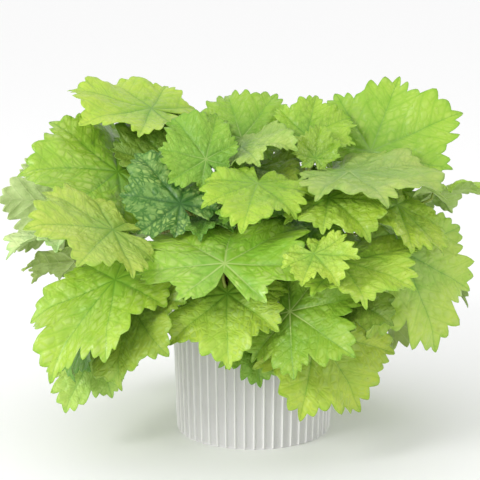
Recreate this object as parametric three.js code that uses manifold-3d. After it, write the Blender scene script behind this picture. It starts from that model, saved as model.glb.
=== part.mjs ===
// A heuchera (coral bells) in a ribbed ceramic pot, millimetres, +Z up.
// The origin is the centre of the pot's underside, and the plant's fullest side faces -Y.

import * as THREE from 'three';
import { mergeVertices } from 'three/addons/utils/BufferGeometryUtils.js';
import Module from 'manifold-3d';

const wasm = await Module();
wasm.setup();

// ---- driving dimensions ----------------------------------------------------------------------

const GAP = 0.3;                 // clearance between pieces that touch
const DEG = Math.PI / 180;

const POT = {
  height: 128,
  baseRadius: 62.5,              // at the crests of the ribs
  rimRadius: 66.5,
  wall: 4.5,
  floor: 6,
  ribs: 52,
  ribDepth: 1.5,
  crestShare: 0.36,              // of a rib's pitch; the rest is the flute
  footBevel: 1.6,
  rimBevel: 1.0,
  footFlute: 0.3,                // depth of the flutes at the foot, as a share of ribDepth
  rimFlute: 0.4,                 // and at the rim
  innerChamfer: 2,               // round the inside of the floor
};

const SOIL = { level: 116, mound: 3, sides: 40, bevel: 12 };

const STALK = {
  sides: 4,
  steps: 6,
  samples: 8,                    // points on each step at which its way is tried
  bulges: [5, 9, 14, 20, 27, 35, 44],   // how far aside it may be pushed, tried in turn
  directions: 8,                 // in which it may be pushed
  rounds: 6,                     // of trying, while any stalk still touches something
  room: 5.0,                     // between the middles of two stalks
  bladeRoom: 3.4,                // between its middle and a blade
  wallRoom: 3.5,                 // between its middle and the pot
  bladeDepth: 0.5,               // how far over or under a blade counts, as a share of its length
  hubZone: 0.22,                 // how near its own hub it may touch its blade, as a share of its length
  footRadius: 1.9,
  hubRadius: 1.3,
  tipRadius: 0.45,               // where it runs out inside the blade
  endBetween: [4, 5],            // the points of the blade's inner ring between which it ends
  endShare: 0.07,                // and how far it goes from the hub towards each
  footDepth: 8,                  // how far it stands in the soil
  arch: 0.4,                     // share of its span over which it rises
  lean: 0.08,                    // how far it leans out meanwhile
  rimClearance: 34,              // height of its arch over the pot's rim
  behind: 0.22,                  // how far behind the hub it turns into the blade, as a share of its span
  below: 0.15,                   // and how far below
};

const HOLE = { sides: 5, below: 3 * GAP, above: GAP };

const BLADE = {
  thickness: 0.8,
  veinChannel: 0.035,            // how deep the blade dips along a lobe's vein, as a share of its length
  innerRing: 0.52,               // where the inner ring of points lies, as a share of the outline
  veinSpread: 23,                // how far a lobe's channel and lift reach to either side, in degrees
  lobeSpread: 60,                // the same for a lobe that is pushed aside
  backBend: 0.3,                 // how much of the droop the part behind the hub takes
  ruffles: 3,                    // waves round the blade
};

// How much leaves differ: the ranges of a lobe's angle in radians, of its reach as a share and of its
// lift, and the least ruffle and its range, as shares of the length.
const VARIETY = { angle: 0.09, reach: 0.14, lift: 0.16, ruffle: 0.035, ruffleRange: 0.03 };

// A leaf faces away from a point that lies at this height on the axis; it always faces upwards too.
const FACING = { height: 110, lowest: -20, rise: 1.1, up: 50 };

// The lobes of one side, from the tip round to the stalk: direction from the tip, and reach as a
// share of the blade's length. A notch follows each lobe.
const SINUS_REACH = 0.1;
const LOBES = [
  { angle: 0, reach: 1.0, notch: { angle: 25, reach: 0.67 } },
  { angle: 46, reach: 0.9, notch: { angle: 70, reach: 0.59 } },
  { angle: 93, reach: 0.74, notch: { angle: 116, reach: 0.48 } },
  { angle: 138, reach: 0.54, notch: { angle: 180, reach: SINUS_REACH } },
];

// The teeth on a lobe's flank, from its tip to the notch: a valley and a tooth, each at a share of the
// way round to the notch, with its reach as a share of the lobe's.
const TEETH = [
  { share: 0.3, reach: 0.86 },
  { share: 0.55, reach: 0.9 },
];
const SINUS_SPREAD = 0.72;       // the teeth beside the sinus keep this share of their way

const SETTLE = {
  room: 2.8,                     // that it leaves between two blades
  passes: 60,
  gain: 0.3,                     // share of a crossing that one pass undoes
  whole: 0.4,                    // share of a push that moves the whole blade, not only its lobes
  lobeDamping: 0.5,              // keeps a lobe that is hardly touched from moving much
  margin: 3,                     // round a blade's outline
  neighbours: 0.95,              // distance of two blades' middles, over their lengths' sum
  sideReach: 0.6,                // how far over or under a blade its neighbour may lie
  deepest: 0.45,                 // and how deep a crossing may be, as shares of the blade's length
};

// ---- leaves ----------------------------------------------------------------------------------

// Each leaf: hub is where stalk and blade meet, tip is where its tip points, length is from hub to
// tip, droop is how far it bends down along its midrib, roll turns it about the midrib, arch bends it
// down to both sides (up where negative), and ring is the ring of stalk feet that it grows from,
// 0 being the outermost. A slim or broad leaf has a width, as a share of the usual one, and a leaf that
// its stalk meets from straight below has its own value for STALK.behind.
const FRONT = [
  { hub: [-120, -62, 86], tip: [-146, -84, 36], length: 60, width: 0.8, droop: 30, roll: -42,
    arch: 35, ring: 0 },
  { hub: [-129, -84, 108], tip: [-123, -126, 84], length: 50, droop: 25, roll: 0, arch: 25, ring: 0 },
  { hub: [-94, -92, 125], tip: [-100, -130, 66], length: 74, width: 0.9, droop: 35, roll: 0,
    arch: 25, ring: 0 },
  { hub: [-104, -104, 150], tip: [-161, -146, 77], length: 98, width: 0.62, droop: 35, roll: -14,
    arch: 40, ring: 0 },
  { hub: [-140, -36, 147], tip: [-172, -62, 146], length: 48, droop: 30, roll: 0, arch: 20, ring: 0 },
  { hub: [-104, -100, 184], tip: [-162, -132, 191], length: 68, droop: 30, roll: -10, arch: 15, ring: 1 },
  { hub: [-142, -18, 190], tip: [-194, -44, 195], length: 60, droop: 20, roll: 60, arch: 10, ring: 1 },
  { hub: [-138, -58, 180], tip: [-188, -90, 166], length: 62, droop: 25, roll: 0, arch: 15, ring: 1 },
  { hub: [-106, -20, 219], tip: [-188, -36, 223], length: 82, droop: 28, roll: -34, arch: 12, ring: 2 },
  { hub: [-80, 36, 249], tip: [-156, 44, 261], length: 76, droop: 20, roll: -24, arch: 5, ring: 2 },
  { hub: [-68, -8, 220], tip: [-62, 24, 260], length: 58, droop: 15, roll: 20, arch: -25, ring: 3 },
  { hub: [-56, -66, 191], tip: [-84, -42, 221], length: 56, droop: 20, roll: 0, arch: 15, ring: 2 },
  { hub: [-34, -46, 224], tip: [-56, -26, 252], length: 46, droop: 25, roll: -10, arch: 15, ring: 3 },
  { hub: [-24, -112, 162], tip: [-14, -42, 182], length: 84, width: 1.1, droop: 45, roll: 0,
    arch: 10, behind: 0, ring: 1 },
  { hub: [34, -64, 184], tip: [46, -98, 168], length: 44, droop: 30, roll: 0, arch: 20, ring: 3 },
  { hub: [-20, -98, 134], tip: [-20, -134, 94], length: 62, droop: 30, roll: 0, arch: 20, ring: 0 },
  { hub: [25, -112, 126], tip: [67, -146, 102], length: 61, droop: 25, roll: 18, arch: 10, ring: 0 },
  { hub: [48, -99, 106], tip: [84, -114, 50], length: 74, droop: 25, roll: 10, arch: 15, ring: 0 },
  { hub: [62, -92, 130], tip: [98, -124, 116], length: 55, droop: 30, roll: 20, arch: 15, ring: 0 },
  { hub: [114, -66, 168], tip: [140, -74, 88], length: 80, droop: 30, roll: 36, arch: 15, ring: 0 },
  { hub: [64, -108, 164], tip: [120, -132, 150], length: 68, droop: 28, roll: -14, arch: 15, ring: 1 },
  { hub: [42, -130, 173], tip: [58, -156, 160], length: 38, droop: 20, roll: 10, arch: -15, ring: 1 },
  { hub: [54, -80, 202], tip: [84, -116, 182], length: 54, droop: 30, roll: 10, arch: 20, ring: 2 },
  { hub: [-1, -70, 213], tip: [-10, -116, 188], length: 58, droop: 35, roll: 0, arch: 20, ring: 2 },
  { hub: [-12, -4, 243], tip: [-26, 34, 275], length: 58, droop: 20, roll: -10, arch: 10, ring: 3 },
  { hub: [94, 8, 225], tip: [164, 22, 252], length: 80, droop: 15, roll: 45, arch: 0, ring: 2 },
  { hub: [72, -50, 217], tip: [142, -84, 206], length: 82, droop: 25, roll: 0, arch: 10, ring: 2 },
  { hub: [138, -24, 206], tip: [182, -48, 216], length: 50, droop: 15, roll: 0, arch: 10, ring: 1 },
  { hub: [106, -54, 194], tip: [108, -98, 162], length: 56, droop: 30, roll: 0, arch: 20, ring: 1 },
  { hub: [42, -6, 240], tip: [76, 16, 252], length: 46, droop: 15, roll: 25, arch: -20, ring: 3 },
  { hub: [48, -30, 220], tip: [52, -10, 240], length: 28, droop: 15, roll: 0, arch: -15, ring: 4 },
  { hub: [-11, -34, 234], tip: [26, -54, 243], length: 52, droop: 25, roll: 0, arch: 10, ring: 4 },
  { hub: [0, -96, 108], tip: [4, -118, 68], length: 46, droop: 25, roll: 0, arch: 15, ring: 0 },
  { hub: [0, -6, 214], tip: [30, -34, 212], length: 46, droop: 20, roll: 22, arch: 10, ring: 4 },
  { hub: [-36, -58, 186], tip: [-40, -94, 178], length: 38, droop: 30, roll: 0, arch: 20, ring: 3 },
  { hub: [2, -54, 194], tip: [4, -88, 182], length: 44, droop: 30, roll: 0, arch: 20, ring: 3 },
];

// The far side, in tiers from the lowest up: where the hubs and the tips lie, as distance from the
// axis and height, and the range of bearings in degrees, +X being 0 and +Y 90.
const FAR_TIERS = [
  { count: 7, from: 28, to: 166, hub: [106, 122], tip: [146, 74], length: 72, droop: 35, ring: 0 },
  { count: 6, from: 8, to: 172, hub: [120, 161], tip: [168, 122], length: 74, droop: 32, ring: 1 },
  { count: 5, from: 30, to: 156, hub: [100, 204], tip: [154, 176], length: 74, droop: 30, ring: 2 },
  { count: 3, from: 44, to: 138, hub: [58, 232], tip: [108, 212], length: 68, droop: 30, ring: 3 },
];

// How much the far leaves differ from their tier's even spacing. Every other hub is lower by stagger.
const FAR_VARIETY = { bearing: 8, swing: 14, out: 14, up: 10, stagger: 8, length: 0.2, roll: 16 };
const FAR_ARCH = { least: 10, range: 20 };

const FOOT_RINGS = [41, 31, 21.5, 12, 3.5];   // distances of the stalks' feet from the axis

// ---- solids ----------------------------------------------------------------------------------

function toManifold(geometry) {
  const bare = geometry.index ? geometry.toNonIndexed() : geometry.clone();
  bare.deleteAttribute('normal');
  bare.deleteAttribute('uv');
  const merged = mergeVertices(bare, 1e-4);
  return new wasm.Manifold(new wasm.Mesh({
    numProp: 3,
    vertProperties: new Float32Array(merged.attributes.position.array),
    triVerts: new Uint32Array(merged.index.array),
  }));
}

function toGeometry(manifold) {
  const mesh = manifold.getMesh();
  const geometry = new THREE.BufferGeometry();
  geometry.setAttribute('position', new THREE.Float32BufferAttribute(mesh.vertProperties, 3));
  geometry.setIndex(new THREE.Uint32BufferAttribute(mesh.triVerts, 1));
  geometry.computeVertexNormals();
  return geometry;
}

function closedGeometry(points, triangles) {
  const geometry = new THREE.BufferGeometry();
  geometry.setAttribute('position', new THREE.Float32BufferAttribute(points.flat(), 3));
  geometry.setIndex(triangles.flat());
  geometry.computeVertexNormals();
  return geometry;
}

function seeded(seed) {          // a small repeatable random source, 0 to 1
  let state = seed >>> 0;
  return () => {
    state = (Math.imul(state, 1664525) + 1013904223) >>> 0;
    return state / 4294967296;
  };
}

// ---- pot -------------------------------------------------------------------------------------

function ribbedRing(radius, depth, z) {
  const ring = [];
  const pitch = 2 * Math.PI / POT.ribs;
  const crest = pitch * POT.crestShare / 2;
  for (let i = 0; i < POT.ribs; i++) {
    const middle = -Math.PI / 2 + i * pitch;
    ring.push([middle - crest, radius]);
    ring.push([middle + crest, radius]);
    ring.push([middle + pitch / 2, radius - depth]);
  }
  return ring.map(([angle, r]) => [r * Math.cos(angle), r * Math.sin(angle), z]);
}

function makePot() {
  const rings = [
    ribbedRing(POT.baseRadius - POT.footBevel, POT.ribDepth * POT.footFlute, 0),
    ribbedRing(POT.baseRadius, POT.ribDepth, POT.footBevel),
    ribbedRing(POT.rimRadius, POT.ribDepth, POT.height - POT.rimBevel),
    ribbedRing(POT.rimRadius - POT.rimBevel, POT.ribDepth * POT.rimFlute, POT.height),
  ];
  const count = rings[0].length;
  const points = [[0, 0, 0], ...rings.flat(), [0, 0, POT.height]];
  const top = points.length - 1;
  const triangles = [];
  for (let i = 0; i < count; i++) {
    const next = (i + 1) % count;
    triangles.push([0, 1 + next, 1 + i]);
    for (let r = 0; r + 1 < rings.length; r++) {
      const a = 1 + r * count + i;
      const b = 1 + r * count + next;
      triangles.push([a, b, b + count], [a, b + count, a + count]);
    }
    triangles.push([top, 1 + (rings.length - 1) * count + i, 1 + (rings.length - 1) * count + next]);
  }
  const outside = toManifold(closedGeometry(points, triangles));
  const inside = toManifold(insideOfPot(0, POT.floor, POT.height + 1, 0));
  return toGeometry(outside.subtract(inside));
}

function innerRadius(z) {
  const slope = (POT.rimRadius - POT.baseRadius) / POT.height;
  return POT.baseRadius + slope * z - POT.wall;
}

// The pot's inside between two heights, less a clearance. A mound raises its top.
function insideOfPot(clearance, bottom, top, mound) {
  const low = bottom + clearance;
  const corner = low + POT.innerChamfer;
  const profile = [
    new THREE.Vector2(0, low),
    new THREE.Vector2(innerRadius(low) - POT.innerChamfer - clearance, low),
    new THREE.Vector2(innerRadius(corner) - clearance, corner),
    new THREE.Vector2(innerRadius(top) - clearance, top),
  ];
  if (mound > 0) {
    profile.push(new THREE.Vector2(innerRadius(top) - SOIL.bevel, top + mound));
  }
  profile.push(new THREE.Vector2(0, top + mound));
  return new THREE.LatheGeometry(profile, SOIL.sides).rotateX(Math.PI / 2);
}

// ---- leaf shape ------------------------------------------------------------------------------

// A leaf's frame and shape. Flat coordinates are x across, y along the midrib and h above the blade;
// bent() curls them and sets them in space.
function makeLeaf(name, row, seed) {
  const random = seeded(seed * 7919 + 13);
  const hub = new THREE.Vector3(...row.hub);
  const chord = new THREE.Vector3(...row.tip).sub(hub).normalize();
  const middle = hub.clone().addScaledVector(chord, row.length / 2);
  const rise = Math.max(middle.z - FACING.height, FACING.lowest) * FACING.rise + FACING.up;
  const outward = new THREE.Vector3(middle.x, middle.y, rise);
  const face = outward.normalize().addScaledVector(chord, -outward.dot(chord)).normalize();
  face.applyAxisAngle(chord, row.roll * DEG);
  const half = row.droop * DEG / 2;
  const along = chord.clone().multiplyScalar(Math.cos(half)).addScaledVector(face, Math.sin(half));
  const up = face.clone().multiplyScalar(Math.cos(half)).addScaledVector(chord, -Math.sin(half));
  const across = new THREE.Vector3().crossVectors(along, up);
  const lobes = [];
  for (const side of [-1, 1]) {
    for (const [k, lobe] of LOBES.entries()) {
      if (k === 0 && side > 0) continue;
      lobes.push({
        angle: side * lobe.angle * DEG + (random() - 0.5) * VARIETY.angle,
        reach: lobe.reach * (1 + (random() - 0.5) * VARIETY.reach),
        lift: (random() - 0.5) * VARIETY.lift,
      });
    }
  }
  lobes.sort((a, b) => a.angle - b.angle);
  return {
    name, row, hub, along, across, up, lobes,
    length: row.length,
    width: row.width ?? 1,
    bendAlong: row.droop * DEG / row.length,
    bendAcross: row.arch * DEG / row.length,
    wave: VARIETY.ruffle + VARIETY.ruffleRange * random(),
    phase: random() * 2 * Math.PI,
    shift: new THREE.Vector3(),
    lobeShift: lobes.map(() => new THREE.Vector3()),
  };
}

// The direction of a flat place from the midrib and its share of the way out, as on a leaf of the
// usual width.
function polar(leaf, x, y) {
  const wide = x / leaf.width;
  return { reach: Math.hypot(wide, y) / leaf.length, angle: Math.atan2(wide, y) };
}

// Height of the blade above its plane, at a share of the way out (reach) in a direction (angle).
function bladeHeight(leaf, reach, angle) {
  let vein = 0;
  let lift = 0;
  for (const lobe of leaf.lobes) {
    const off = Math.abs(angle - lobe.angle) / (BLADE.veinSpread * DEG);
    if (off < 1) {
      vein += (1 - off) * (1 - off);
      lift += lobe.lift * (1 - off * off);
    }
  }
  const ruffle = leaf.wave * Math.sin(BLADE.ruffles * angle + leaf.phase) * reach * reach;
  const channel = BLADE.veinChannel * (1 - 2 * vein) * Math.min(reach * 2, 1) * Math.min(reach, 0.8);
  return leaf.length * (ruffle + channel + lift * reach * reach);
}

// How strongly each lobe's own shift acts at a place on the blade.
function lobeWeights(leaf, reach, angle) {
  return leaf.lobes.map((lobe) => {
    const off = Math.abs(angle - lobe.angle) / (BLADE.lobeSpread * DEG);
    return off < 1 ? (1 - off) * Math.min(reach, 1.2) ** 1.5 : 0;
  });
}

function settledShift(leaf, x, y) {
  const { reach, angle } = polar(leaf, x, y);
  const total = leaf.shift.clone();
  lobeWeights(leaf, reach, angle).forEach((weight, i) => {
    if (weight > 0) total.addScaledVector(leaf.lobeShift[i], weight);
  });
  return total;
}

// One bend: a flat coordinate u with height h is rolled on a circle of the given curvature.
function roll(u, h, curvature) {
  if (Math.abs(curvature) < 1e-6) return [u, h];
  const radius = 1 / curvature;
  const angle = u * curvature;
  return [(radius + h) * Math.sin(angle), (radius + h) * Math.cos(angle) - radius];
}

function unroll(u, h, curvature) {
  if (Math.abs(curvature) < 1e-6) return [u, h];
  const radius = 1 / curvature;
  const sign = Math.sign(radius);
  const angle = Math.atan2(u * sign, (h + radius) * sign);
  return [angle * radius, sign * Math.hypot(u, h + radius) - radius];
}

function alongCurvature(leaf, y) {
  return y > 0 ? leaf.bendAlong : leaf.bendAlong * BLADE.backBend;
}

function bent(leaf, x, y, h) {
  const [bx, bh] = roll(x, h, leaf.bendAcross);
  const [by, bz] = roll(y, bh, alongCurvature(leaf, y));
  return leaf.hub.clone()
    .addScaledVector(leaf.across, bx)
    .addScaledVector(leaf.along, by)
    .addScaledVector(leaf.up, bz);
}

function bladePoint(leaf, x, y, offset) {
  const { reach, angle } = polar(leaf, x, y);
  const h = bladeHeight(leaf, reach, angle) + offset;
  return bent(leaf, x, y, h).add(settledShift(leaf, x, y));
}

// The flat place of a point in space over a leaf, and its height above the blade there.
function overLeaf(leaf, point) {
  let shift = leaf.shift;
  let place = null;
  for (let i = 0; i < 3; i++) {
    const local = point.clone().sub(shift).sub(leaf.hub);
    const by = local.dot(leaf.along);
    const [y, bh] = unroll(by, local.dot(leaf.up), alongCurvature(leaf, by));
    const [x, h] = unroll(local.dot(leaf.across), bh, leaf.bendAcross);
    place = { x, y, h };
    shift = settledShift(leaf, x, y);
  }
  const { reach, angle } = polar(leaf, place.x, place.y);
  return { ...place, reach, angle, above: place.h - bladeHeight(leaf, reach, angle) };
}

function normalAt(leaf, x, y) {
  const base = bent(leaf, x, y, 0);
  return bent(leaf, x, y, 1).sub(base).normalize();
}

// The blade's reach in a direction, without its teeth.
function envelope(leaf, angle) {
  const corners = [];
  for (const lobe of leaf.lobes) corners.push([lobe.angle, lobe.reach]);
  for (const side of [-1, 1]) {
    for (const lobe of LOBES) corners.push([side * lobe.notch.angle * DEG, lobe.notch.reach]);
  }
  corners.sort((a, b) => a[0] - b[0]);
  for (let i = 0; i + 1 < corners.length; i++) {
    const [a0, r0] = corners[i];
    const [a1, r1] = corners[i + 1];
    if (angle >= a0 && angle <= a1) return r0 + (r1 - r0) * (angle - a0) / (a1 - a0);
  }
  return SINUS_REACH;
}

// The toothed outline as [angle, reach] pairs, from the sinus round by the tip to the sinus again.
function outline(leaf) {
  const corners = [[-Math.PI, SINUS_REACH]];
  leaf.lobes.forEach((lobe, i) => {
    const before = notchBetween(leaf, i - 1);
    const after = notchBetween(leaf, i);
    if (i > 0) corners.push(...flank(before, lobe, false));
    else corners.push(flank(before, lobe, false)[0]);
    corners.push([lobe.angle, lobe.reach]);
    if (i + 1 < leaf.lobes.length) corners.push(...flank(after, lobe, true));
    else corners.push(flank(after, lobe, true)[1]);
    if (i + 1 < leaf.lobes.length) corners.push([after.angle, after.reach]);
  });
  return corners;
}

// The notch after the lobe with this number; before the first and after the last lies the sinus.
function notchBetween(leaf, index) {
  const side = index < 3 ? -1 : 1;
  const k = side < 0 ? 2 - index : index - 3;
  const notch = LOBES[k].notch;
  return { angle: side * notch.angle * DEG, reach: notch.reach };
}

// One tooth on a lobe's flank: its tip and the valley towards the lobe's tip.
function flank(notch, lobe, leaving) {
  const spread = notch.reach === SINUS_REACH ? SINUS_SPREAD : 1;
  const pair = TEETH.map(({ share, reach }) => [
    lobe.angle + (notch.angle - lobe.angle) * share * spread,
    lobe.reach * reach,
  ]);
  return leaving ? pair : pair.reverse();
}

// The blade's flat points as [angle, reach], and its triangles, the same on both faces.
function bladeNet(leaf) {
  const rim = outline(leaf);
  const ring = [];
  for (const lobe of leaf.lobes) ring.push([lobe.angle, lobe.reach * BLADE.innerRing]);
  const firstRim = 1 + ring.length;
  const lastRim = ring.length + rim.length;
  const triangles = [[0, firstRim, 1], [0, ring.length, lastRim], [0, lastRim, firstRim]];
  for (let i = 1; i < ring.length; i++) triangles.push([0, i, i + 1]);
  // Between the inner ring and the rim, each edge of the rim goes to its nearest ring point.
  let r = 1;
  for (let i = 0; i + 1 < rim.length; i++) {
    const middle = (rim[i][0] + rim[i + 1][0]) / 2;
    while (r < ring.length && Math.abs(ring[r][0] - middle) < Math.abs(ring[r - 1][0] - middle)) {
      triangles.push([r, firstRim + i, r + 1]);
      r += 1;
    }
    triangles.push([r, firstRim + i, firstRim + i + 1]);
  }
  const places = [[0, 0], ...ring, ...rim].map(([angle, reach]) => [
    leaf.length * leaf.width * reach * Math.sin(angle),
    leaf.length * reach * Math.cos(angle),
  ]);
  return { places, triangles, firstRim, lastRim };
}

function makeBlade(leaf) {
  const { places, triangles, firstRim, lastRim } = leaf.net;
  const count = places.length;
  const top = places.map(([x, y]) => bladePoint(leaf, x, y, BLADE.thickness / 2).toArray());
  const under = places.map(([x, y]) => bladePoint(leaf, x, y, -BLADE.thickness / 2).toArray());
  const faces = [];
  for (const [a, b, c] of triangles) faces.push([a, c, b], [a + count, b + count, c + count]);
  for (let a = firstRim; a <= lastRim; a++) {
    const b = a < lastRim ? a + 1 : firstRim;
    faces.push([a, b, b + count], [a, b + count, a + count]);
  }
  return toManifold(closedGeometry([...top, ...under], faces));
}

// ---- settling --------------------------------------------------------------------------------

// Blades that would cross are bent clear of each other, a little at a time, as leaves that grow
// together push each other aside. Each keeps to the side of its neighbour on which most of it lies.
function settle(leaves) {
  const sides = new Map();
  for (const [i, a] of leaves.entries()) {
    for (const [j, b] of leaves.entries()) {
      if (i >= j || !near(a, b)) continue;
      sides.set(`${i},${j}`, sidesOf(a, b));
    }
  }
  for (let pass = 0; pass < SETTLE.passes; pass++) {
    for (const [key, [aOverB, bOverA]] of sides) {
      const [a, b] = key.split(',').map((k) => leaves[k]);
      pushClear(a, b, aOverB);
      pushClear(b, a, bOverA);
    }
  }
}

function near(a, b) {
  const middle = (leaf) => bladePoint(leaf, 0, leaf.length * 0.3, 0);
  return middle(a).distanceTo(middle(b)) < (a.length + b.length) * SETTLE.neighbours;
}

// The sum of a's heights over b, where a lies over or under b's outline.
function heightOver(a, b) {
  let sum = 0;
  for (const [x, y] of a.net.places) {
    const over = overLeaf(b, bladePoint(a, x, y, 0));
    const beside = Math.abs(over.above) < b.length * SETTLE.sideReach;
    if (beside && isInside(b, over)) sum += over.above;
  }
  return sum;
}

function isInside(leaf, over) {
  return over.reach < envelope(leaf, over.angle) + SETTLE.margin / leaf.length;
}

function sidesOf(a, b) {
  const ab = heightOver(a, b);
  const ba = heightOver(b, a);
  if (a.up.dot(b.up) > 0) {
    const side = ab - ba >= 0 ? 1 : -1;
    return [side, -side];
  }
  const side = ab + ba >= 0 ? 1 : -1;
  return [side, side];
}

function pushClear(a, b, side) {
  const deepest = b.length * SETTLE.deepest;
  const pushes = [];
  for (const [x, y] of a.net.places) {
    const over = overLeaf(b, bladePoint(a, x, y, 0));
    const lack = SETTLE.room - over.above * side;
    if (lack <= 0 || lack > deepest || !isInside(b, over)) continue;
    const push = normalAt(b, over.x, over.y).multiplyScalar(side * lack * SETTLE.gain);
    pushes.push({ push, ...polar(a, x, y), over });
  }
  if (pushes.length === 0) return;
  shiftBy(a, pushes.map(({ push, reach, angle }) => ({ push, reach, angle })));
  shiftBy(b, pushes.map(({ push, over }) => (
    { push: push.clone().negate(), reach: over.reach, angle: over.angle })));
}

// Moves a leaf's blade by pushes at several places, shared between the whole blade and its lobes.
function shiftBy(leaf, pushes) {
  const total = new THREE.Vector3();
  for (const { push } of pushes) total.add(push);
  leaf.shift.addScaledVector(total, SETTLE.whole / pushes.length);
  const weights = pushes.map(({ reach, angle }) => lobeWeights(leaf, reach, angle));
  leaf.lobeShift.forEach((lobeShift, i) => {
    const sum = weights.reduce((acc, weight) => acc + weight[i], 0);
    if (sum === 0) return;
    pushes.forEach(({ push }, k) => {
      lobeShift.addScaledVector(push, weights[k][i] / (sum + SETTLE.lobeDamping));
    });
  });
}

// ---- stalks ----------------------------------------------------------------------------------

// Feet stand on rings round the axis, each ring's leaves in the order of their bearings.
function placeFeet(leaves) {
  FOOT_RINGS.forEach((radius, ring) => {
    const members = leaves.filter((leaf) => leaf.row.ring === ring);
    const bearing = (leaf) => Math.atan2(leaf.hub.y, leaf.hub.x);
    members.sort((a, b) => bearing(a) - bearing(b));
    const pitch = 2 * Math.PI / members.length;
    // The ring is turned so that its feet lie, on the whole, under their own leaves.
    let turn = 0;
    members.forEach((leaf, i) => { turn += bearing(leaf) - i * pitch; });
    members.forEach((leaf, i) => {
      const angle = i * pitch + turn / members.length;
      leaf.foot = new THREE.Vector3(
        radius * Math.cos(angle), radius * Math.sin(angle), SOIL.level - STALK.footDepth);
    });
  });
}

// A stalk rises from its foot, clears the pot's rim and comes to the hub from behind the blade.
function stalkCurve(leaf, low, high) {
  const hub = bladePoint(leaf, 0, 0, 0);
  const end = hub.clone();
  for (const k of STALK.endBetween) {
    end.addScaledVector(bladePoint(leaf, ...leaf.net.places[k], 0).sub(hub), STALK.endShare);
  }
  const span = hub.distanceTo(leaf.foot);
  const overRim = POT.height + STALK.rimClearance;
  const rise = leaf.foot.clone().lerp(hub, STALK.lean);
  rise.z = Math.max(leaf.foot.z + span * STALK.arch, overRim);
  const arrive = hub.clone()
    .addScaledVector(leaf.along, -span * (leaf.row.behind ?? STALK.behind))
    .addScaledVector(leaf.up, -span * STALK.below);
  arrive.z = Math.max(arrive.z, overRim);
  return new THREE.CubicBezierCurve3(leaf.foot, rise.add(low), arrive.add(high), end);
}

// Each stalk takes the straightest of its ways, bulged by more and more to one side or another, that
// clears every blade, the other stalks and the pot. Stalks that still touch try again after the rest.
function routeStalks(leaves) {
  for (let round = 0; round < STALK.rounds; round++) {
    for (const leaf of leaves) {
      if (round > 0 && stalkCost(leaf, leaf.way, leaves) === 0) continue;
      let best = null;
      for (const [low, high] of bulges()) {
        const stalk = stalkCurve(leaf, low, high);
        const way = pointsAlong(stalk);
        const cost = stalkCost(leaf, way, leaves);
        if (best === null || cost < best.cost) best = { cost, stalk, way };
        if (cost === 0) break;
      }
      leaf.stalk = best.stalk;
      leaf.way = best.way;
    }
  }
}

// Points along a stalk as it is made, in straight stretches.
function pointsAlong(curve) {
  const joints = curve.getSpacedPoints(STALK.steps);
  const points = [joints[0]];
  for (let i = 0; i < STALK.steps; i++) {
    for (let k = 1; k <= STALK.samples; k++) {
      points.push(joints[i].clone().lerp(joints[i + 1], k / STALK.samples));
    }
  }
  return points;
}

// How far the lower and the upper half of a stalk are pushed aside: the ways that are tried in turn.
function bulges() {
  const still = new THREE.Vector3();
  const list = [[still, still]];
  for (const size of STALK.bulges) {
    for (let i = 0; i < STALK.directions; i++) {
      const angle = 2 * Math.PI * i / STALK.directions;
      const aside = new THREE.Vector3(size * Math.cos(angle), size * Math.sin(angle), 0);
      list.push([aside, aside], [aside, still], [still, aside]);
    }
  }
  return list;
}

function stalkCost(leaf, points, leaves) {
  let cost = 0;
  for (const point of points) {
    const out = Math.hypot(point.x, point.y);
    const beyond = out > innerRadius(point.z) - STALK.wallRoom;
    const within = out < POT.rimRadius + STALK.wallRoom && point.z < POT.height + STALK.wallRoom;
    if (beyond && within) cost += 1;
  }
  for (const other of leaves) {
    cost += bladeCost(other, points, other === leaf ? STALK.hubZone : 0);
    if (other !== leaf && other.way !== undefined) cost += stalkNearness(points, other.way);
  }
  return cost;
}

function stalkNearness(points, way) {
  let nearest = STALK.room;
  for (const p of points) {
    for (const q of way) nearest = Math.min(nearest, p.distanceTo(q));
  }
  return 1 - nearest / STALK.room;
}

// What a stalk's points cost by lying in a blade or passing through it, further than a share of its
// length from its hub.
function bladeCost(blade, points, hubZone) {
  let cost = 0;
  let last = null;
  for (const point of points) {
    const close = point.distanceTo(blade.middle) < blade.length * 1.1;
    const over = close ? overLeaf(blade, point) : null;
    const inside = close && over.reach >= hubZone && isInside(blade, over)
      && Math.abs(over.above) < blade.length * STALK.bladeDepth;
    if (inside && Math.abs(over.above) < STALK.bladeRoom) cost += 1;
    if (inside && last !== null && last * over.above < 0) cost += 1;
    last = inside ? over.above : null;
  }
  return cost;
}

function polygon(radius, sides) {
  const shape = new THREE.Shape();
  for (let i = 0; i < sides; i++) {
    const angle = 2 * Math.PI * i / sides;
    if (i === 0) shape.moveTo(radius, 0);
    else shape.lineTo(radius * Math.cos(angle), radius * Math.sin(angle));
  }
  shape.closePath();
  return shape;
}

function makeStalk(leaf) {
  const geometry = new THREE.ExtrudeGeometry(polygon(1, STALK.sides), {
    steps: STALK.steps, bevelEnabled: false, extrudePath: leaf.stalk,
  });
  // The tube is made with a radius of 1 and thickened towards its foot.
  const centres = leaf.stalk.getSpacedPoints(STALK.steps);
  const position = geometry.attributes.position;
  const point = new THREE.Vector3();
  for (let i = 0; i < position.count; i++) {
    point.fromBufferAttribute(position, i);
    let nearest = 0;
    centres.forEach((centre, k) => {
      if (centre.distanceTo(point) < centres[nearest].distanceTo(point)) nearest = k;
    });
    const share = nearest / (STALK.steps - 1);
    const body = STALK.footRadius + (STALK.hubRadius - STALK.footRadius) * share;
    const radius = nearest < STALK.steps ? body : STALK.tipRadius;
    point.sub(centres[nearest]).multiplyScalar(radius).add(centres[nearest]);
    position.setXYZ(i, point.x, point.y, point.z);
  }
  return toManifold(geometry);
}

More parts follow.
